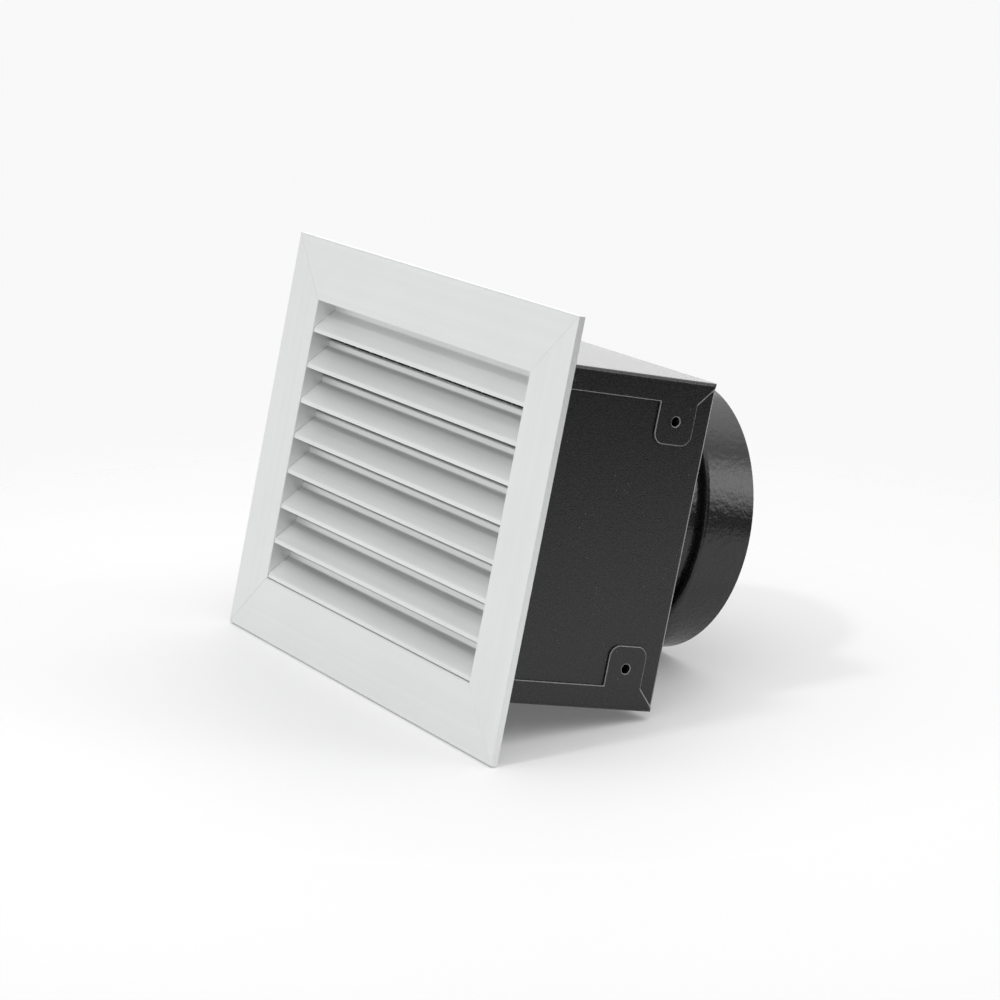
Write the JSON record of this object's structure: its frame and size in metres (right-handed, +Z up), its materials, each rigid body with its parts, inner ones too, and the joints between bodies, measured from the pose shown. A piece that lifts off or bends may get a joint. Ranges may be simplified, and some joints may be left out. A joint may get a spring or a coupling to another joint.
{
  "type": "subfloor ventilation fan",
  "caption": "Wall-mounted subfloor fan: a mitred flange with fixed louvres on a folded steel box that holds an axial fan and ends in a round duct spigot.",
  "frame": {"origin": "centre of the flange opening, in the plane of the wall that the flange seats on", "axes": "+X along the flange's width, +Y into the wall along the duct axis, +Z up"},
  "size_m": [0.29, 0.183, 0.225],
  "materials": {
    "anodised_frame": "satin",
    "anodised_louvre": "satin",
    "powder_coat": "satin",
    "spigot_paint": "satin",
    "zinc_steel": "satin",
    "fan_casting": "matte",
    "black_nylon": "matte",
    "gasket_rubber": "matte",
    "core_steel": "satin",
    "copper_winding": "satin",
    "ivory_plastic": "satin",
    "brass_screw": "satin"
  },
  "bodies": {
    "enclosure": {"frame_top": "anodised_frame", "frame_bottom": "anodised_frame", "frame_left": "anodised_frame", "frame_right": "anodised_frame", "corner_keys": "zinc_steel", "tie_rod": "anodised_louvre", "grille_screws": "zinc_steel", "vermin_mesh": "zinc_steel", "mesh_clips": "zinc_steel", "box_side_left": "powder_coat", "box_side_right": "powder_coat", "box_back": "powder_coat", "box_top": "powder_coat", "box_bottom": "powder_coat", "box_rivets": "powder_coat", "duct_spigot": "spigot_paint", "fan_gasket": "gasket_rubber", "fan_housing": "fan_casting", "finger_guard": "black_nylon", "fan_bolts": "zinc_steel", "fan_washers": "zinc_steel", "fan_nuts": "zinc_steel", "stator_core": "core_steel", "stator_windings": "copper_winding", "front_bearing": "core_steel", "rear_bearing": "core_steel", "motor_cap": "black_nylon", "terminal_block": "ivory_plastic", "terminal_screws": "brass_screw", "cable_gland": "black_nylon", "gland_cap": "black_nylon", "gland_locknut": "black_nylon", "louvre_1": "anodised_louvre", "louvre_2": "anodised_louvre", "louvre_3": "anodised_louvre", "louvre_4": "anodised_louvre", "louvre_5": "anodised_louvre", "louvre_6": "anodised_louvre", "louvre_7": "anodised_louvre", "louvre_8": "anodised_louvre"},
    "rotor": {"impeller": "black_nylon", "rotor_shell": "core_steel", "rotor_shaft": "core_steel", "shaft_clip": "core_steel"}
  },
  "joints": [
    {"name": "fan_spin", "type": "hinge", "parent": "enclosure", "child": "rotor", "pos_m": [0, 0.075, 0], "axis": [0, 1, 0], "continuous": true}
  ]
}
